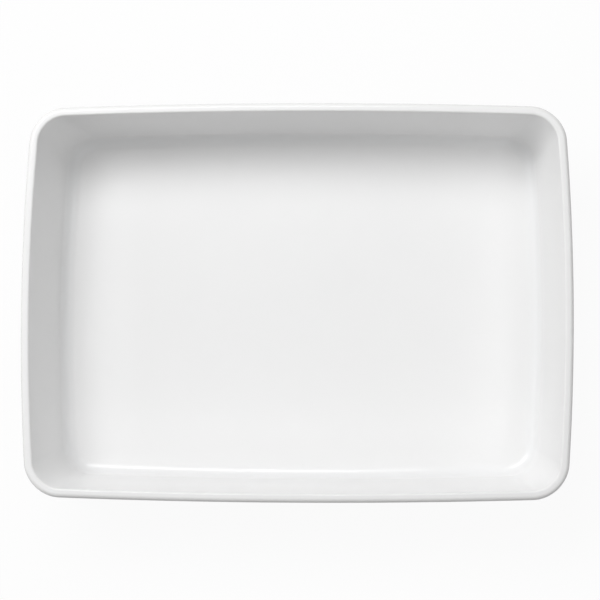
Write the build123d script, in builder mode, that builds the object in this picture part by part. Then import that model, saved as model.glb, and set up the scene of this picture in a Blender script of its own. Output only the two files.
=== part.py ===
from build123d import *
from math import cos, radians, tan
import os

# A lasagna dish of white glazed ceramic, in millimetres.
# The origin is the middle of the standing face, +X runs along the dish, +Y across it and +Z up.
# Every size of the vessel is taken over the glaze, and the clay lies one coat inside it.

# Rim, seen from above
length = 340.0
width = 246.0
long_side_bow = 3.1
short_side_bow = 4.9
rim_corner_radius = 23.5

# Wall, seen in section
height = 62.0
wall_thickness = 5.8
side_draft_angle = 8.0
end_draft_angle = 12.0
rim_flat = 1.2
rim_inner_round = 1.2
foot_corner_radius = 24.5

# Floor
floor_thickness = 5.5
floor_round = 6.5
base_round = 10.0

# Foot ring
foot_height = 2.5
foot_width = 5.0
foot_set_back = 2.5
foot_round = 1.0

# Glaze
glaze_thickness = 0.3
dry_band = 1.3

# The floor's upper face
floor_level = foot_height + floor_thickness

# How far the long sides and the ends lean out for each millimetre that they rise
side_lean = tan(radians(side_draft_angle))
end_lean = tan(radians(end_draft_angle))

# A step of one millimetre square to the long sides and to the ends, seen from above
side_slant = 1 / cos(radians(side_draft_angle))
end_slant = 1 / cos(radians(end_draft_angle))

# How much of each face a round of radius 1 takes on a long side: at its wider edges, and at its narrower ones
blunt_share = tan(radians(90 - side_draft_angle) / 2)
sharp_share = tan(radians(90 + side_draft_angle) / 2)

# The rim is tight on its inner side, and its outer round takes what that one and the flat leave of the wall
rim_outer_round = (wall_thickness - rim_flat - rim_inner_round * blunt_share) / sharp_share

# What the outer round takes off the rim's reach: the wall's line passes that far outside the rim
side_loss = rim_outer_round * (side_lean + side_slant - 1)
end_loss = rim_outer_round * (end_lean + end_slant - 1)

# The foot ring starts where the base's round has ended
foot_inset = base_round * blunt_share + foot_set_back


def outline(level, depth, under=0):
    """The dish's plan at one level: a rounded oblong with bowed sides.

    It lies some depth inside the wall's outer face, and a further one under that face, square to it."""
    drop = height - level
    corner = rim_corner_radius + (foot_corner_radius - rim_corner_radius) * drop / height - depth - under
    side_x = length / 2 - (drop * end_lean + depth + under * end_slant - end_loss)
    side_y = width / 2 - (drop * side_lean + depth + under * side_slant - side_loss)
    corner_x = side_x - short_side_bow
    corner_y = side_y - long_side_bow
    with BuildSketch() as plan:
        with BuildLine():
            ThreePointArc((-corner_x, -corner_y), (0, -side_y), (corner_x, -corner_y))
            ThreePointArc((corner_x, -corner_y), (side_x, 0), (corner_x, corner_y))
            ThreePointArc((corner_x, corner_y), (0, side_y), (-corner_x, corner_y))
            ThreePointArc((-corner_x, corner_y), (-side_x, 0), (-corner_x, -corner_y))
        make_face()
        fillet(plan.vertices(), corner)
    return plan.sketch


def vessel(under, ring_bottom):
    """The dish with its foot ring, standing a depth under the glaze's face; the ring ends at its own level."""
    top = height - under
    base = foot_height + under
    floor = floor_level - under
    with BuildPart() as form:
        # the block that the wall and the base enclose
        for level in (base, top):
            with BuildSketch(Plane.XY.offset(level)):
                add(outline(level, 0, under))
        loft(ruled=True)
        fillet(form.faces().sort_by(Axis.Z)[0].edges(), base_round - under)
        # the hollow
        for level in (floor, top):
            with BuildSketch(Plane.XY.offset(level)):
                add(outline(level, wall_thickness, -under))
        loft(ruled=True, mode=Mode.SUBTRACT)
        fillet(form.faces().filter_by(Plane.XY).sort_by(Axis.Z)[1].edges(), floor_round + under)
        # the rounded rim
        fillet(form.faces().sort_by(Axis.Z)[-1].outer_wire().edges(), rim_outer_round - under)
        fillet(form.faces().sort_by(Axis.Z)[-1].inner_wires()[0].edges(), rim_inner_round - under)
        # the foot ring under the base, reaching half way into the floor
        with BuildSketch(Plane.XY.offset(ring_bottom)):
            add(outline(foot_height, foot_inset + under))
            add(outline(foot_height, foot_inset + foot_width - under), mode=Mode.SUBTRACT)
        extrude(amount=(base + floor) / 2 - ring_bottom)
    return form.part


# The fired clay: floor, walls, rim and foot ring in one piece. Its standing face is bare and softly rounded.
with BuildPart() as ceramic_body:
    add(vessel(glaze_thickness, 0))
    fillet(ceramic_body.faces().sort_by(Axis.Z)[0].edges(), foot_round)
ceramic_body.part.label = "ceramic_body"

# All that the glaze covers, less the clay: one skin outside the foot ring and one inside it
with BuildPart() as glaze_fields:
    add(vessel(0, dry_band))
    add(ceramic_body.part, mode=Mode.SUBTRACT)

# The glass coat on the inside, over the rim and down the outer wall to the foot ring's dry band
with BuildPart() as glaze_coat:
    add(glaze_fields.solids().sort_by(Axis.Z)[-1])
glaze_coat.part.label = "glaze_coat"

# The glass coat on the underside, inside the foot ring
with BuildPart() as underside_glaze:
    add(glaze_fields.solids().sort_by(Axis.Z)[0])
underside_glaze.part.label = "underside_glaze"

os.makedirs("parts", exist_ok=True)
for piece in (ceramic_body, glaze_coat, underside_glaze):
    export_step(piece.part, f"parts/{piece.part.label}.step")
    box = piece.part.bounding_box()
    print(piece.part.label, len(piece.part.solids()), "solid", round(piece.part.volume), "mm3", box.min, box.max)
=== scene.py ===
"""A white glazed ceramic lasagna dish, seen from straight above on a white table.

All lengths are in metres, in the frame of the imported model: the origin is the middle of the standing face,
+X runs along the dish, +Y across it and +Z up.
"""

from __future__ import annotations

import logging
import math
from dataclasses import dataclass, field
from enum import Enum

import bmesh
import bpy
from mathutils import Matrix, Vector


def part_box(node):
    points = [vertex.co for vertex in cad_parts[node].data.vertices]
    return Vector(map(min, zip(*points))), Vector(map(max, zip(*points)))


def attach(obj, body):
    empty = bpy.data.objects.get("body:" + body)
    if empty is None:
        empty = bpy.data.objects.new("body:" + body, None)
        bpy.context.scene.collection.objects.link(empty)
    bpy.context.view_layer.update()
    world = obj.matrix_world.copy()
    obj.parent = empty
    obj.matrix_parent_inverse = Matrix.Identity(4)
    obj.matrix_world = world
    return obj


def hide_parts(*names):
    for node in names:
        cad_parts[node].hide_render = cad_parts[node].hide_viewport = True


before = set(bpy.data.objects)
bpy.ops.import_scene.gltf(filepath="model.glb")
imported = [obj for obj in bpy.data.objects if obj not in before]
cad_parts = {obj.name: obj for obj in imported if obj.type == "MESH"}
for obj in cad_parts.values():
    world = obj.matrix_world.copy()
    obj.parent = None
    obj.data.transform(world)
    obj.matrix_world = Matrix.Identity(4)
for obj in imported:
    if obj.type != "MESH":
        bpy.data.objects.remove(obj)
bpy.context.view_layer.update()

log = logging.getLogger("lasagna_dish")

Colour = tuple[float, float, float]

MM = 0.001
WHITE = (1.0, 1.0, 1.0, 1.0)

# The middle of a noise's range and of a grid of side 1
MIDDLE = 0.5

# The quarters of a turn that such a grid covers
QUARTERS = 4.0


# Sizes of the dish

@dataclass(frozen=True)
class DishSizes:
    """The dish's sizes over the glaze.

    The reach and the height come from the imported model's box. The floor's round is drawn a little wider than
    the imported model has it, as the photograph shows it.
    """

    half_length: float
    half_width: float
    height: float
    long_side_bow: float = 3.1 * MM
    short_side_bow: float = 4.9 * MM
    rim_corner: float = 23.5 * MM
    foot_corner: float = 24.5 * MM
    wall: float = 5.8 * MM
    draft: float = math.radians(8.0)
    end_draft: float = math.radians(12.0)
    rim_flat: float = 1.2 * MM
    rim_inner_round: float = 1.2 * MM
    floor_thickness: float = 5.5 * MM
    floor_round: float = 8.0 * MM
    base_round: float = 10.0 * MM
    foot_height: float = 2.5 * MM
    foot_width: float = 5.0 * MM
    foot_set_back: float = 2.5 * MM
    foot_round: float = 1.0 * MM
    foot_hollow: float = 0.8 * MM
    glaze: float = 0.3 * MM
    glaze_edge_round: float = 0.2 * MM
    dry_band: float = 1.3 * MM
    corner_spread_share: float = 0.88

    @classmethod
    def from_frame(cls) -> DishSizes:
        """Reads the reach and the height from the glaze coat's box.

        Returns:
            The dish's sizes.
        """
        _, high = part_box("glaze_coat")
        return cls(half_length=high[0], half_width=high[1], height=high[2])

    @property
    def lean(self) -> float:
        """How far a long side's wall leans out for each metre that it rises."""
        return math.tan(self.draft)

    @property
    def slant(self) -> float:
        """A step of one metre square to the wall, seen from above."""
        return 1 / math.cos(self.draft)

    @property
    def blunt(self) -> float:
        """The stretch of face that a round of radius 1 takes at the wall's wider edges."""
        return math.tan((math.pi / 2 - self.draft) / 2)

    @property
    def sharp(self) -> float:
        """The stretch of face that a round of radius 1 takes at the wall's narrower edges."""
        return math.tan((math.pi / 2 + self.draft) / 2)

    @property
    def rim_outer_round(self) -> float:
        """The radius on the rim's outer side, which the inner one and the flat leave of the wall."""
        return (self.wall - self.rim_flat - self.rim_inner_round * self.blunt) / self.sharp

    @property
    def rim_loss(self) -> float:
        """What the outer round takes off the reach of the rim's sharp edge."""
        return self.rim_outer_round * (self.lean + self.slant - 1)

    @property
    def end_lean(self) -> float:
        """How much further the ends' walls lean out than the long sides' for each metre that they rise."""
        return math.tan(self.end_draft) - self.lean

    @property
    def floor_level(self) -> float:
        """The level of the floor's upper face."""
        return self.foot_height + self.floor_thickness

    @property
    def foot_depth(self) -> float:
        """How far the foot ring stands inside the line of the wall's outer face."""
        return self.base_round * self.blunt + self.foot_set_back

    @property
    def ring_outer(self) -> float:
        """The inset of the foot ring's outer face."""
        return self.wall_inset(self.foot_height, self.foot_depth)

    @property
    def ring_inner(self) -> float:
        """The inset of the foot ring's inner face."""
        return self.wall_inset(self.foot_height, self.foot_depth + self.foot_width)

    @property
    def fade_inset(self) -> float:
        """The inset past which the rings on the flat faces give up their corners and their bow."""
        return self.ring_inner + self.foot_hollow

    @property
    def core_inset(self) -> float:
        """The inset at which the plan has shrunk to a line along the middle of the dish."""
        return self.half_width - self.long_side_bow

    def wall_inset(self, level: float, depth: float) -> float:
        """Gives how far a line of the wall stands inside the rim's reach.

        Args:
            level: The height of the point over the table.
            depth: How far the line lies inside the wall's outer face.

        Returns:
            The inset, seen from above.
        """
        return (self.height - level) * self.lean + depth - self.rim_loss

    def end_step(self, level: float) -> float:
        """Gives how much further in the ends stand at a level than the long sides.

        Args:
            level: The height of the point over the table.

        Returns:
            The step along the dish, which is nothing at the rim's widest line.
        """
        rim = self.rim_outer_round * (1 + self.end_lean - math.hypot(1, self.end_lean))
        return (self.height - max(level, self.foot_height)) * self.end_lean - rim

    def corner(self, inset: float, level: float) -> float:
        """Gives the corner's radius in plan at a point of the section.

        Args:
            inset: How far the point stands inside the rim's reach.
            level: The height of the point over the table.

        Returns:
            The radius, spread for a corner that is wider than a right angle.
        """
        drop = self.height - max(level, self.foot_height)
        outer = self.rim_corner + (self.foot_corner - self.rim_corner) * drop / self.height
        return (outer - inset + drop * self.lean - self.rim_loss) * self.corner_spread_share

    def plan_share(self, inset: float) -> float:
        """Gives how much of its corners and its bow a ring keeps.

        Args:
            inset: How far the ring stands inside the rim's reach.

        Returns:
            The share, from 1 at the walls to 0 at the core.
        """
        return min(1.0, max(0.0, (self.core_inset - inset) / (self.core_inset - self.fade_inset)))


# Sections through the wall

class Side(Enum):
    """Whether a stretch of the section is seen, or lies against the clay."""

    SEEN = 1.0
    HIDDEN = 0.0


@dataclass(frozen=True)
class Corner:
    """One corner of a section, with the radius that rounds it off."""

    inset: float
    level: float
    radius: float = 0.0
    pool: float = 0.0
    side: Side = Side.SEEN


@dataclass(frozen=True)
class Row:
    """One ring of the dish's surface: its place in the section and what the glaze does there."""

    inset: float
    level: float
    pool: float
    side: Side


@dataclass
class Section:
    """A line through the wall, drawn by its corners and rounded off."""

    sizes: DishSizes
    run_step: float = 6.0 * MM
    turn_step: float = math.radians(5.0)
    least_turns: int = 3
    coarse_share: float = 3.0
    corners: list[Corner] = field(default_factory=list)

    def add(self, inset: float, level: float, radius: float = 0.0, pool: float = 0.0,
            side: Side = Side.SEEN) -> None:
        """Adds one corner to the line.

        Args:
            inset: How far the corner stands inside the rim's reach.
            level: Its height over the table.
            radius: The radius that rounds it off.
            pool: How much thicker the glaze looks in the round, or thinner where negative.
            side: Whether the line is seen from here on.
        """
        self.corners.append(Corner(inset, level, radius, pool, side))

    def add_hollow(self, under: float, side: Side) -> None:
        """Adds the line from the floor's middle up the inner wall, over the rim and down to the base.

        Args:
            under: How deep the line lies under the glaze's face.
            side: Whether the line is seen.
        """
        s = self.sizes
        step = under * s.slant
        floor, top, base = s.floor_level - under, s.height - under, s.foot_height + under
        self.add(s.core_inset, floor, side=side)
        self.add(s.wall_inset(floor, s.wall - step), floor, s.floor_round + under, pool=1.0, side=side)
        self.add(s.wall_inset(top, s.wall - step), top, s.rim_inner_round - under, pool=-1.0, side=side)
        self.add(s.wall_inset(top, step), top, s.rim_outer_round - under, pool=-1.0, side=side)
        self.add(s.wall_inset(base, step), base, s.base_round - under, side=side)

    def rows(self) -> list[Row]:
        """Rounds the corners off and divides the runs.

        Returns:
            The rings of the surface, from the line's start to its end.
        """
        spots = [Vector((c.inset, c.level)) for c in self.corners]
        rows: list[Row] = []
        last = len(spots) - 1
        for i, (corner, here) in enumerate(zip(self.corners, spots)):
            if i in (0, last) or corner.radius <= 0:
                arc = [(here, 0.0)]
            else:
                arc = self._arc(spots[i - 1], here, spots[i + 1], corner)
            if rows:
                rows += self._run(rows[-1], arc[0][0], self.corners[i - 1].side)
            rows += [Row(p.x, p.y, corner.pool * share, corner.side) for p, share in arc]
        return rows

    def mesh(self, name: str) -> bpy.types.Mesh:
        """Makes the rows a line of points for the ring tree to read.

        Args:
            name: The mesh's name.

        Returns:
            A mesh whose points hold inset, corner radius and level, and the rest as attributes.
        """
        s = self.sizes
        rows = self.rows()
        shares = [s.plan_share(r.inset) for r in rows]
        corners = [s.corner(min(r.inset, s.fade_inset), r.level) * share for r, share in zip(rows, shares)]
        mesh = bpy.data.meshes.new(name)
        mesh.from_pydata([(r.inset, c, r.level) for r, c in zip(rows, corners)],
                         [(i, i + 1) for i in range(len(rows) - 1)], [])
        values = {"bow": shares, "end_step": [s.end_step(r.level) for r in rows],
                  "seen": [r.side.value for r in rows], "pool": [r.pool for r in rows]}
        for label, column in values.items():
            mesh.attributes.new(label, "FLOAT", "POINT").data.foreach_set("value", column)
        return mesh

    def _arc(self, before: Vector, here: Vector, after: Vector,
             corner: Corner) -> list[tuple[Vector, float]]:
        """Rounds one corner.

        Args:
            before: The corner before it.
            here: Its own place.
            after: The corner after it.
            corner: The corner, with its radius.

        Returns:
            The arc's points, each with its share of the corner's pool of glaze.
        """
        a, b = (before - here).normalized(), (after - here).normalized()
        half = a.angle(b) / 2
        middle = here + (a + b).normalized() * (corner.radius / math.sin(half))
        spoke = here + a * (corner.radius / math.tan(half)) - middle
        way = 1.0 if spoke.cross(-a) > 0 else -1.0
        turn = math.pi - 2 * half
        steps = max(self.least_turns, round(turn / (self.turn_step * self._coarse(corner.side))))
        shares = [k / steps for k in range(steps + 1)]
        return [(middle + Matrix.Rotation(way * turn * share, 2) @ spoke, math.sin(math.pi * share))
                for share in shares]

    def _run(self, start: Row, end: Vector, side: Side) -> list[Row]:
        """Divides a straight run.

        Args:
            start: The row that the run starts from.
            end: The place where the next arc starts.
            side: Whether the run is seen.

        Returns:
            The rows between the two.
        """
        begin = Vector((start.inset, start.level))
        steps = max(1, round((end - begin).length / (self.run_step * self._coarse(side))))
        spots = [begin.lerp(end, k / steps) for k in range(1, steps)]
        return [Row(p.x, p.y, 0.0, side) for p in spots]

    def _coarse(self, side: Side) -> float:
        """How much longer the steps are on this side of the skin."""
        return 1.0 if side is Side.SEEN else self.coarse_share


# Node trees

class NodeSheet:
    """Adds nodes to a tree and links them."""

    def __init__(self, tree: bpy.types.NodeTree) -> None:
        """Keeps the tree that the nodes go into."""
        self.tree = tree

    def add(self, kind: str, feeds: dict | None = None, **settings: object) -> bpy.types.Node:
        """Adds one node.

        Args:
            kind: The node's type.
            feeds: What goes into its inputs, by name or number: a socket to link, or a value.
            settings: The node's own properties.

        Returns:
            The new node.
        """
        node = self.tree.nodes.new(kind)
        for name, value in settings.items():
            setattr(node, name, value)
        for key, feed in (feeds or {}).items():
            if isinstance(feed, bpy.types.NodeSocket):
                self.tree.links.new(feed, node.inputs[key])
            else:
                node.inputs[key].default_value = feed
        return node

    def math(self, operation: str, *values: object) -> bpy.types.NodeSocket:
        """Adds a Math node.

        Args:
            operation: What the node does.
            values: What goes into it, in order: a socket to link, or a number.

        Returns:
            The result.
        """
        return self.add("ShaderNodeMath", dict(enumerate(values)), operation=operation).outputs[0]

    def spread(self, value: object, *limits: object) -> bpy.types.NodeSocket:
        """Adds a Map Range node, which stays in its limits.

        Args:
            value: What is spread.
            limits: The first pair of limits, and then the pair that they turn into.

        Returns:
            The spread value.
        """
        return self.add("ShaderNodeMapRange", dict(enumerate((value, *limits)))).outputs[0]

    def given(self, tree_inputs: dict[str, str], tree_outputs: dict[str, str]) -> bpy.types.NodeOutputs:
        """Gives the tree its named sockets.

        Args:
            tree_inputs: The kind of each input, by name.
            tree_outputs: The kind of each output, by name.

        Returns:
            The sockets that bring the inputs in.
        """
        for side, sockets in (("INPUT", tree_inputs), ("OUTPUT", tree_outputs)):
            for name, kind in sockets.items():
                self.tree.interface.new_socket(name=name, in_out=side, socket_type="NodeSocket" + kind)
        return self.add("NodeGroupInput").outputs

    def give(self, feeds: dict) -> None:
        """Links what the tree puts out."""
        self.add("NodeGroupOutput", feeds)


# The skin of rings

@dataclass(frozen=True)
class RingTree:
    """Sweeps a section round the dish: each point becomes a ring with bowed sides and round corners."""

    sizes: DishSizes
    stations: int = 400
    short_side_share: float = 0.24
    long_side_share: float = 0.46
    wave_size: float = 26.0 * MM
    wave_detail: float = 1.0
    wave_seed: float = 7.0
    weld: float = 0.001 * MM

    def build(self) -> bpy.types.NodeTree:
        """Builds the geometry nodes.

        Returns:
            The tree, with its sizes as named inputs.
        """
        sheet = NodeSheet(bpy.data.node_groups.new("dish_rings", "GeometryNodeTree"))
        given = sheet.given(
            {"Section": "Geometry", "Half Length": "Float", "Half Width": "Float",
             "Short Side Bow": "Float", "Long Side Bow": "Float", "Stations": "Int",
             "Short Side Share": "Float", "Long Side Share": "Float", "Wave Depth": "Float",
             "Wave Size": "Float", "Wave Seed": "Float", "Weld": "Float", "Material": "Material"},
            {"Skin": "Geometry"})
        section = given["Section"]
        count = sheet.add("GeometryNodeAttributeDomainSize", {"Geometry": section}).outputs["Point Count"]
        grid = sheet.add("GeometryNodeMeshGrid", {
            "Size X": 1.0, "Size Y": 1.0,
            "Vertices X": sheet.math("ADD", given["Stations"], 1.0), "Vertices Y": count}).outputs["Mesh"]
        spot = sheet.add("GeometryNodeInputPosition").outputs[0]
        on_grid = sheet.add("ShaderNodeSeparateXYZ", {0: spot}).outputs
        turn = sheet.math("MULTIPLY_ADD", on_grid["X"], QUARTERS, QUARTERS * MIDDLE)
        row = sheet.add("FunctionNodeFloatToInt", {0: sheet.math(
            "MULTIPLY", sheet.math("ADD", on_grid["Y"], MIDDLE), sheet.math("SUBTRACT", count, 1.0))},
            rounding_mode="ROUND").outputs[0]

        def of_row(value: bpy.types.NodeSocket, kind: str) -> bpy.types.NodeSocket:
            """Reads a value of the section at this ring's point."""
            return sheet.add("GeometryNodeSampleIndex", {"Geometry": section, "Value": value, "Index": row},
                             data_type=kind).outputs[0]

        def named(label: str) -> bpy.types.NodeSocket:
            """Reads an attribute by its name."""
            return sheet.add("GeometryNodeInputNamedAttribute", {"Name": label},
                             data_type="FLOAT").outputs[0]

        place = self._ring_place(sheet, given, turn, of_row(spot, "FLOAT_VECTOR"),
                                 of_row(named("bow"), "FLOAT"), of_row(named("end_step"), "FLOAT"))
        skin = grid
        for label in ("seen", "pool"):
            skin = sheet.add("GeometryNodeStoreNamedAttribute", {
                "Geometry": skin, "Name": label, "Value": of_row(named(label), "FLOAT")},
                data_type="FLOAT", domain="POINT").outputs[0]
        skin = sheet.add("GeometryNodeSetPosition", {"Geometry": skin, "Position": place}).outputs[0]
        skin = sheet.add("GeometryNodeMergeByDistance", {
            "Geometry": skin, "Distance": given["Weld"]}).outputs[0]
        wave = sheet.add("ShaderNodeTexNoise", {
            "Vector": spot, "W": given["Wave Seed"], "Scale": sheet.math("DIVIDE", 1.0, given["Wave Size"]),
            "Detail": self.wave_detail}, noise_dimensions="4D").outputs[0]
        swing = sheet.math("MULTIPLY", sheet.math("SUBTRACT", wave, MIDDLE), given["Wave Depth"])
        height = sheet.math("MULTIPLY", swing, named("seen"))
        normal = sheet.add("GeometryNodeInputNormal").outputs[0]
        push = sheet.add("ShaderNodeVectorMath", {0: normal, "Scale": height}, operation="SCALE").outputs[0]
        skin = sheet.add("GeometryNodeSetPosition", {"Geometry": skin, "Offset": push}).outputs[0]
        skin = sheet.add("GeometryNodeSetShadeSmooth", {"Geometry": skin}).outputs[0]
        skin = sheet.add("GeometryNodeRealizeInstances", {"Geometry": skin}).outputs[0]
        skin = sheet.add("GeometryNodeSetMaterial", {
            "Geometry": skin, "Material": given["Material"]}).outputs[0]
        sheet.give({"Skin": skin})
        return sheet.tree

    def _ring_place(self, sheet: NodeSheet, given: bpy.types.NodeOutputs, turn: bpy.types.NodeSocket,
                    point: bpy.types.NodeSocket, bow: bpy.types.NodeSocket,
                    end_step: bpy.types.NodeSocket) -> bpy.types.NodeSocket:
        """Works out where a point of a ring lies.

        Args:
            sheet: The tree's sheet.
            given: The tree's inputs.
            turn: How far round the ring the point is, in quarters from the middle of the short side.
            point: The section's inset, corner radius and level.
            bow: How much of the sides' bow the ring has.
            end_step: How much further in its ends stand than its long sides.

        Returns:
            The point's place in the dish's frame.
        """
        inset, corner, level = sheet.add("ShaderNodeSeparateXYZ", {0: point}).outputs[:]
        quarter = sheet.math("PINGPONG", turn, 1.0)
        corner_end = sheet.math("SUBTRACT", 1.0, given["Long Side Share"])
        angle = sheet.spread(quarter, given["Short Side Share"], corner_end, 0.0, math.pi / 2)
        across = sheet.spread(quarter, 0.0, given["Short Side Share"], 0.0, 1.0)
        along = sheet.spread(quarter, corner_end, 1.0, 1.0, 0.0)
        spin = sheet.math("MULTIPLY", turn, math.pi / 2)

        def flat_place(half: str, side_bow: str, own_inset: bpy.types.NodeSocket,
                       share: bpy.types.NodeSocket, wave: str) -> tuple:
            """Gives one coordinate of the unbowed ring, and its share of the way to the ring's side."""
            reach = sheet.math("SUBTRACT", sheet.math("SUBTRACT", given[half], given[side_bow]), own_inset)
            straight = sheet.math("MULTIPLY", sheet.math("SUBTRACT", reach, corner), share)
            size = sheet.math("MULTIPLY_ADD", corner, sheet.math(wave, angle), straight)
            signed = sheet.math("MULTIPLY", size, sheet.math("SIGN", sheet.math(wave, spin)))
            return signed, sheet.math("DIVIDE", signed, sheet.math("MAXIMUM", reach, self.weld))

        def bowed(signed: object, own_share: object, other_share: object,
                  side_bow: str) -> bpy.types.NodeSocket:
            """Pushes one coordinate out by the side's bow, fully at its middle and not at its ends."""
            crown = sheet.math("SUBTRACT", 1.0, sheet.math("MULTIPLY", other_share, other_share))
            depth = sheet.math("MULTIPLY", sheet.math("MULTIPLY", given[side_bow], bow), own_share)
            return sheet.math("MULTIPLY_ADD", depth, crown, signed)

        end_inset = sheet.math("ADD", inset, end_step)
        x, x_share = flat_place("Half Length", "Short Side Bow", end_inset, along, "COSINE")
        y, y_share = flat_place("Half Width", "Long Side Bow", inset, across, "SINE")
        return sheet.add("ShaderNodeCombineXYZ", {
            "X": bowed(x, x_share, y_share, "Short Side Bow"),
            "Y": bowed(y, y_share, x_share, "Long Side Bow"), "Z": level}).outputs[0]

    def skin(self, name: str, section: Section, wave_depth: float,
             material: bpy.types.Material) -> bpy.types.Object:
        """Makes one piece of the dish from its section.

        Args:
            name: The piece's name.
            section: The line through its wall.
            wave_depth: How much its seen faces wave.
            material: Its finish.

        Returns:
            The piece as a plain mesh, in its place.
        """
        tree = bpy.data.node_groups.get("dish_rings") or self.build()
        piece = bpy.data.objects.new(name, section.mesh(name + "_section"))
        bpy.context.scene.collection.objects.link(piece)
        values = {
            "Half Length": self.sizes.half_length, "Half Width": self.sizes.half_width,
            "Short Side Bow": self.sizes.short_side_bow, "Long Side Bow": self.sizes.long_side_bow,
            "Stations": self.stations, "Short Side Share": self.short_side_share,
            "Long Side Share": self.long_side_share, "Wave Depth": wave_depth, "Wave Size": self.wave_size,
            "Wave Seed": self.wave_seed, "Weld": self.weld, "Material": material,
        }
        modifier = piece.modifiers.new("rings", "NODES")
        modifier.node_group = tree
        for item in tree.interface.items_tree:
            if item.in_out == "INPUT" and item.name in values:
                modifier[item.identifier] = values[item.name]
        shaped = piece.evaluated_get(bpy.context.evaluated_depsgraph_get())
        mesh = bpy.data.meshes.new_from_object(shaped)
        piece.modifiers.clear()
        piece.data = mesh
        mesh.name = name
        turn_outwards(mesh)
        return piece


def turn_outwards(mesh: bpy.types.Mesh) -> None:
    """Points a closed mesh's faces outwards.

    Args:
        mesh: The mesh to change.
    """
    edited = bmesh.new()
    edited.from_mesh(mesh)
    bmesh.ops.recalc_face_normals(edited, faces=edited.faces)
    edited.to_mesh(mesh)
    edited.free()


# Finishes

class Effects:
    """The node groups that both finishes use."""

    CLOUD_LIMITS: tuple[float, float] = (0.3, 0.7)
    NOISE_ROUGHNESS: float = 0.5
    SPECK_CORE_SHARE: float = 0.5

    def __init__(self) -> None:
        """Builds each group once."""
        self.relief = self._relief()
        self.specks = self._specks()

    def _relief(self) -> bpy.types.NodeTree:
        """Builds a group for soft unevenness: a height for bump and a cloud from 0 to 1."""
        sheet = NodeSheet(bpy.data.node_groups.new("soft_relief", "ShaderNodeTree"))
        given = sheet.given(
            {"Place": "Vector", "Fine Size": "Float", "Cloud Size": "Float", "Detail": "Float"},
            {"Height": "Float", "Cloud": "Float"})
        made = {}
        for name, size in (("Height", "Fine Size"), ("Cloud", "Cloud Size")):
            made[name] = sheet.add("ShaderNodeTexNoise", {
                "Vector": given["Place"], "Scale": sheet.math("DIVIDE", 1.0, given[size]),
                "Detail": given["Detail"], "Roughness": self.NOISE_ROUGHNESS}).outputs[0]
        cloud = sheet.spread(made["Cloud"], *self.CLOUD_LIMITS, 0.0, 1.0)
        sheet.give({"Height": made["Height"], "Cloud": cloud})
        return sheet.tree

    def _specks(self) -> bpy.types.NodeTree:
        """Builds a group for small scattered specks: a mask that is 1 in the middle of each."""
        sheet = NodeSheet(bpy.data.node_groups.new("scattered_specks", "ShaderNodeTree"))
        given = sheet.given({"Place": "Vector", "Spacing": "Float", "Size": "Float", "Share": "Float"},
                            {"Mask": "Float"})
        cells = sheet.add("ShaderNodeTexVoronoi", {
            "Vector": given["Place"], "Scale": sheet.math("DIVIDE", 1.0, given["Spacing"])}).outputs
        radius = sheet.math("DIVIDE", given["Size"], given["Spacing"])
        core = sheet.math("MULTIPLY", radius, self.SPECK_CORE_SHARE)
        dot = sheet.spread(cells["Distance"], core, radius, 1.0, 0.0)
        draw = sheet.add("ShaderNodeSeparateColor", {0: cells["Color"]}).outputs[0]
        sheet.give({"Mask": sheet.math("MULTIPLY", dot, sheet.math("LESS_THAN", draw, given["Share"]))})
        return sheet.tree


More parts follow.
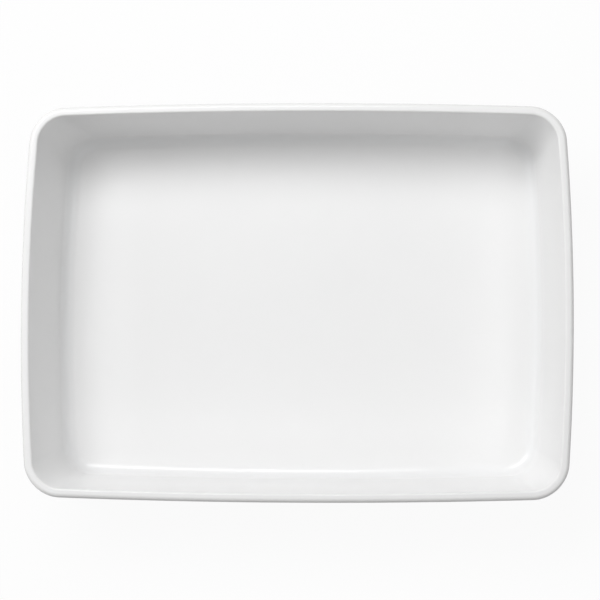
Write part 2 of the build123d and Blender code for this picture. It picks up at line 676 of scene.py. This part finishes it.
@dataclass(frozen=True)
class Finish:
    """What both finishes share: a base colour that clouds and specks vary, and a fine relief."""

    name: str
    colour: Colour
    cloud_colour: Colour
    speck_colour: Colour
    fine_size: float
    fine_depth: float
    cloud_size: float
    detail: float
    speck_spacing: float
    speck_size: float
    speck_share: float
    smooth_roughness: float
    cloud_roughness: float

    def material(self, effects: Effects) -> bpy.types.Material:
        """Builds the material.

        Args:
            effects: The shared node groups.

        Returns:
            The new material.
        """
        material = bpy.data.materials.new(self.name)
        material.use_nodes = True
        material.node_tree.nodes.clear()
        sheet = NodeSheet(material.node_tree)
        place = sheet.add("ShaderNodeTexCoord").outputs["Object"]
        relief = sheet.add("ShaderNodeGroup", node_tree=effects.relief)
        specks = sheet.add("ShaderNodeGroup", node_tree=effects.specks)
        for group, feeds in ((relief, {"Fine Size": self.fine_size, "Cloud Size": self.cloud_size,
                                       "Detail": self.detail}),
                             (specks, {"Spacing": self.speck_spacing, "Size": self.speck_size,
                                       "Share": self.speck_share})):
            sheet.tree.links.new(place, group.inputs["Place"])
            for key, value in feeds.items():
                group.inputs[key].default_value = value
        cloud, speck = relief.outputs["Cloud"], specks.outputs["Mask"]
        tint = self._mix(sheet, cloud, self.colour, self.cloud_colour)
        tint = self._mix(sheet, speck, self._aged(sheet, tint), self.speck_colour)
        bump = sheet.add("ShaderNodeBump", {
            "Height": sheet.math("SUBTRACT", relief.outputs["Height"], speck), "Distance": self.fine_depth})
        shader = sheet.add("ShaderNodeBsdfPrincipled", {
            "Base Color": tint, "Normal": bump.outputs[0],
            "Roughness": sheet.spread(cloud, 0.0, 1.0, self.smooth_roughness, self.cloud_roughness)})
        self._set_gloss(shader)
        sheet.add("ShaderNodeOutputMaterial", {"Surface": shader.outputs[0]})
        return material

    def _aged(self, sheet: NodeSheet, tint: bpy.types.NodeSocket) -> bpy.types.NodeSocket:
        """Changes the tint where the finish itself varies; a plain finish doesn't."""
        return tint

    def _set_gloss(self, shader: bpy.types.Node) -> None:
        """Sets the shader's own constants; a plain finish keeps them."""

    @staticmethod
    def _mix(sheet: NodeSheet, share: bpy.types.NodeSocket, low: object,
             high: object) -> bpy.types.NodeSocket:
        """Mixes two colours, each a socket or a plain colour.

        Args:
            sheet: The material's sheet.
            share: How much of the second colour there is.
            low: The colour at a share of 0.
            high: The colour at a share of 1.

        Returns:
            The mixed colour.
        """
        node = sheet.add("ShaderNodeMix", data_type="RGBA")
        sheet.tree.links.new(share, node.inputs["Factor"])
        for socket, colour in zip([s for s in node.inputs if s.type == "RGBA"], (low, high)):
            if isinstance(colour, bpy.types.NodeSocket):
                sheet.tree.links.new(colour, socket)
            else:
                socket.default_value = (*colour, 1.0)
        return next(s for s in node.outputs if s.type == "RGBA")


@dataclass(frozen=True)
class WhiteGlaze(Finish):
    """Clear gloss over white: deeper where it pools in the floor's round, thinner over the rim."""

    name: str = "white_glaze"
    colour: Colour = (0.85, 0.85, 0.85)
    cloud_colour: Colour = (0.856, 0.856, 0.855)
    speck_colour: Colour = (0.77, 0.77, 0.76)
    pool_colour: Colour = (0.842, 0.845, 0.847)
    thin_colour: Colour = (0.842, 0.84, 0.835)
    fine_size: float = 2.2 * MM
    fine_depth: float = 0.004 * MM
    cloud_size: float = 45.0 * MM
    detail: float = 2.0
    speck_spacing: float = 14.0 * MM
    speck_size: float = 0.35 * MM
    speck_share: float = 0.35
    smooth_roughness: float = 0.07
    cloud_roughness: float = 0.1
    reflection: float = 0.25

    def _aged(self, sheet: NodeSheet, tint: bpy.types.NodeSocket) -> bpy.types.NodeSocket:
        """Tints the glaze where it is thick or thin."""
        pool = sheet.add("ShaderNodeAttribute", attribute_name="pool").outputs["Fac"]
        tint = self._mix(sheet, sheet.spread(pool, 0.0, 1.0, 0.0, 1.0), tint, self.pool_colour)
        return self._mix(sheet, sheet.spread(pool, 0.0, -1.0, 0.0, 1.0), tint, self.thin_colour)

    def _set_gloss(self, shader: bpy.types.Node) -> None:
        """Sets how much the glaze reflects."""
        shader.inputs["Specular IOR Level"].default_value = self.reflection


@dataclass(frozen=True)
class BareClay(Finish):
    """Fired clay without glaze: off-white, matte and grainy."""

    name: str = "bare_clay"
    colour: Colour = (0.74, 0.7, 0.63)
    cloud_colour: Colour = (0.66, 0.62, 0.55)
    speck_colour: Colour = (0.42, 0.37, 0.31)
    fine_size: float = 0.5 * MM
    fine_depth: float = 0.05 * MM
    cloud_size: float = 9.0 * MM
    detail: float = 4.0
    speck_spacing: float = 2.4 * MM
    speck_size: float = 0.3 * MM
    speck_share: float = 0.5
    smooth_roughness: float = 0.8
    cloud_roughness: float = 0.93


# The dish

@dataclass
class LasagnaDish:
    """The dish: a fired clay body, the glaze over it and the glaze under its floor."""

    sizes: DishSizes
    rings: RingTree
    glaze_wave: float = 0.09 * MM
    pieces: list[bpy.types.Object] = field(default_factory=list)

    def build(self) -> None:
        """Makes and dresses the three pieces."""
        effects = Effects()
        glaze = WhiteGlaze().material(effects)
        clay = BareClay().material(effects)
        self._place("fired_body", self.clay_section(), 0.0, clay, "ceramic_body")
        self._place("white_glaze_coat", self.coat_section(), self.glaze_wave, glaze,
                    "glaze_coat")
        self._place("glaze_under_floor", self.underside_section(), self.glaze_wave, glaze,
                    "underside_glaze")

    def clay_section(self) -> Section:
        """Draws the clay: hidden under the glaze but for the foot ring's lower edge.

        Returns:
            The line from the floor's middle, over the rim, round the foot ring and back under the floor.
        """
        s = self.sizes
        line = Section(s)
        line.add_hollow(s.glaze, Side.HIDDEN)
        base = s.foot_height + s.glaze
        outer, inner = s.ring_outer + s.glaze, s.ring_inner - s.glaze
        line.add(outer, base)
        line.add(outer, 0.0, s.foot_round)
        line.add(inner, 0.0, s.foot_round)
        line.add(inner, base, side=Side.HIDDEN)
        line.add(s.core_inset, base, side=Side.HIDDEN)
        return line

    def coat_section(self) -> Section:
        """Draws the glaze coat: its face, its edge on the foot ring and its back against the clay.

        Returns:
            The line from the floor's middle, over the rim to the foot ring's dry band, and back.
        """
        s = self.sizes
        line = Section(s)
        line.add_hollow(0.0, Side.SEEN)
        line.add(s.ring_outer, s.foot_height, s.foot_hollow, pool=1.0)
        line.add(s.ring_outer, s.dry_band, s.glaze_edge_round)
        line.add(s.ring_outer + s.glaze, s.dry_band, side=Side.HIDDEN)
        line.add(s.ring_outer + s.glaze, s.foot_height + s.glaze, side=Side.HIDDEN)
        back = Section(s)
        back.add_hollow(s.glaze, Side.HIDDEN)
        line.corners += reversed(back.corners)
        return line

    def underside_section(self) -> Section:
        """Draws the glaze inside the foot ring.

        Returns:
            The line from the underside's middle to the ring's dry band, and back against the clay.
        """
        s = self.sizes
        back_level = s.foot_height + s.glaze
        line = Section(s)
        line.add(s.core_inset, s.foot_height)
        line.add(s.ring_inner, s.foot_height, s.foot_hollow, pool=1.0)
        line.add(s.ring_inner, s.dry_band, s.glaze_edge_round)
        line.add(s.ring_inner - s.glaze, s.dry_band, side=Side.HIDDEN)
        line.add(s.ring_inner - s.glaze, back_level, side=Side.HIDDEN)
        line.add(s.core_inset, back_level, side=Side.HIDDEN)
        return line

    def _place(self, name: str, section: Section, wave_depth: float, material: bpy.types.Material,
               node: str) -> None:
        """Makes one piece and puts it in the place of its node.

        Args:
            name: The piece's name.
            section: The line through its wall.
            wave_depth: How much its seen faces wave.
            material: Its finish.
            node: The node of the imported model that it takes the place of.
        """
        piece = self.rings.skin(name, section, wave_depth, material)
        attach(piece, "root")
        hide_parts(node)
        self.pieces.append(piece)
        log.info("%s: %d faces, for %s", name, len(piece.data.polygons), node)


# The studio

@dataclass(frozen=True)
class PhotoCamera:
    """The camera of the photograph, one metre over the rim and looking down."""

    rim_level: float
    height_over_rim: float = 1000.0 * MM
    station: tuple[float, float] = (56.21 * MM, -57.35 * MM)
    aim: tuple[float, float] = (21.6 * MM, 19.6 * MM)
    roll: float = math.radians(-0.19)
    frame_side_px: float = 600.0
    focal_length_px: float = 1636.0
    shift_px: tuple[float, float] = (31.0, -31.0)
    sensor_width: float = 36.0

    def build(self) -> None:
        """Adds the camera and makes it the scene's own."""
        data = bpy.data.cameras.new("photo_camera")
        data.sensor_width = self.sensor_width
        data.lens = self.focal_length_px * self.sensor_width / self.frame_side_px
        data.shift_x = -self.shift_px[0] / self.frame_side_px
        data.shift_y = self.shift_px[1] / self.frame_side_px
        eye = Vector((*self.station, self.rim_level + self.height_over_rim))
        back = (eye - Vector((*self.aim, self.rim_level))).normalized()
        right = Vector((math.sin(self.roll), math.cos(self.roll), 0.0)).cross(back).normalized()
        turn = Matrix((right, back.cross(right), back)).transposed()
        camera = bpy.data.objects.new("photo_camera", data)
        camera.matrix_world = Matrix.Translation(eye) @ turn.to_4x4()
        bpy.context.scene.collection.objects.link(camera)
        bpy.context.scene.camera = camera
        log.info("camera %.3f m over the table, lens %.1f mm", eye.z, data.lens)


@dataclass(frozen=True)
class SoftBox:
    """A flat, even light that faces the dish; azimuth 90 is beyond the far side and 180 is to the left."""

    name: str
    azimuth: float
    tilt: float
    width: float
    depth: float
    radiance: float
    distance: float = 1.5
    aim_level: float = 0.03

    def build(self) -> None:
        """Adds the light, turned towards the middle of the dish."""
        tilt, azimuth = math.radians(self.tilt), math.radians(self.azimuth)
        flat = math.sin(tilt)
        way = Vector((flat * math.cos(azimuth), flat * math.sin(azimuth), math.cos(tilt)))
        data = bpy.data.lights.new(self.name, "AREA")
        data.shape = "RECTANGLE"
        data.size, data.size_y = self.width, self.depth
        data.energy = self.radiance * math.pi * self.width * self.depth
        lamp = bpy.data.objects.new(self.name, data)
        lamp.location = way * self.distance + Vector((0.0, 0.0, self.aim_level))
        lamp.rotation_euler = (-way).to_track_quat("-Z", "Y").to_euler()
        lamp.visible_camera = False
        bpy.context.scene.collection.objects.link(lamp)


@dataclass(frozen=True)
class Studio:
    """A white table, a white room and soft lights from the upper left."""

    table_side: float = 12.0
    table_colour: Colour = (0.45, 0.45, 0.45)
    table_glow: float = 1.06
    table_glow_share: float = 0.88
    room_light: float = 0.255
    boxes: tuple[SoftBox, ...] = (
        SoftBox("far_window", azimuth=123.5, tilt=36.6, width=1.3, depth=0.5, radiance=8.03),
        SoftBox("left_wall", azimuth=179, tilt=63, width=1.2, depth=0.5, radiance=1.28),
        SoftBox("right_strip", azimuth=348, tilt=34, width=1.7, depth=0.16, radiance=2.95),
        SoftBox("near_strip", azimuth=283, tilt=34, width=1.7, depth=0.14, radiance=1.36),
        SoftBox("overhead", azimuth=100, tilt=20, width=1.0, depth=0.5, radiance=0.53),
    )

    def build(self) -> None:
        """Adds the table, the room and the lights."""
        self._table()
        self._room()
        for box in self.boxes:
            box.build()

    def _table(self) -> None:
        """Adds the table: plain white to the camera, with the dish's shadow on it."""
        half = self.table_side / 2
        corners = [(-half, -half, 0), (half, -half, 0), (half, half, 0), (-half, half, 0)]
        mesh = bpy.data.meshes.new("table")
        mesh.from_pydata(corners, [], [range(len(corners))])
        table = bpy.data.objects.new("table", mesh)
        bpy.context.scene.collection.objects.link(table)
        material = bpy.data.materials.new("table_white")
        material.use_nodes = True
        material.node_tree.nodes.clear()
        sheet = NodeSheet(material.node_tree)
        seen = self._seen_white(sheet)
        paint = sheet.add("ShaderNodeBsdfDiffuse", {"Color": (*self.table_colour, 1.0)})
        glow = sheet.add("ShaderNodeEmission", {"Color": WHITE, "Strength": self.table_glow})
        mix = sheet.add("ShaderNodeMixShader", {
            0: sheet.math("MULTIPLY", seen, self.table_glow_share), 1: paint.outputs[0], 2: glow.outputs[0]})
        sheet.add("ShaderNodeOutputMaterial", {"Surface": mix.outputs[0]})
        mesh.materials.append(material)

    @staticmethod
    def _seen_white(sheet: NodeSheet) -> bpy.types.NodeSocket:
        """Tells the rays that see the surroundings white: the camera's, mirrored and clear ones."""
        rays = sheet.add("ShaderNodeLightPath").outputs
        mirrored = sheet.math("MAXIMUM", rays["Is Camera Ray"], rays["Is Glossy Ray"])
        return sheet.math("MAXIMUM", mirrored, rays["Is Transmission Ray"])

    def _room(self) -> None:
        """Makes the room white to the camera and dim to the dish."""
        world = bpy.data.worlds.new("room")
        world.use_nodes = True
        world.node_tree.nodes.clear()
        sheet = NodeSheet(world.node_tree)
        seen = self._seen_white(sheet)
        light = sheet.add("ShaderNodeBackground", {
            "Color": WHITE, "Strength": sheet.spread(seen, 0.0, 1.0, self.room_light, 1.0)})
        sheet.add("ShaderNodeOutputWorld", {"Surface": light.outputs[0]})
        bpy.context.scene.world = world


def main() -> None:
    """Builds the dish, the camera and the studio."""
    logging.basicConfig(level=logging.INFO, format="%(name)s: %(message)s")
    sizes = DishSizes.from_frame()
    PhotoCamera(sizes.height).build()
    dish = LasagnaDish(sizes, RingTree(sizes))
    dish.build()
    Studio().build()
    bpy.context.scene.view_settings.view_transform = "Standard"
    log.info("%d pieces, %d CAD nodes", len(dish.pieces), len(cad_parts))


if __name__ == "__main__":
    main()
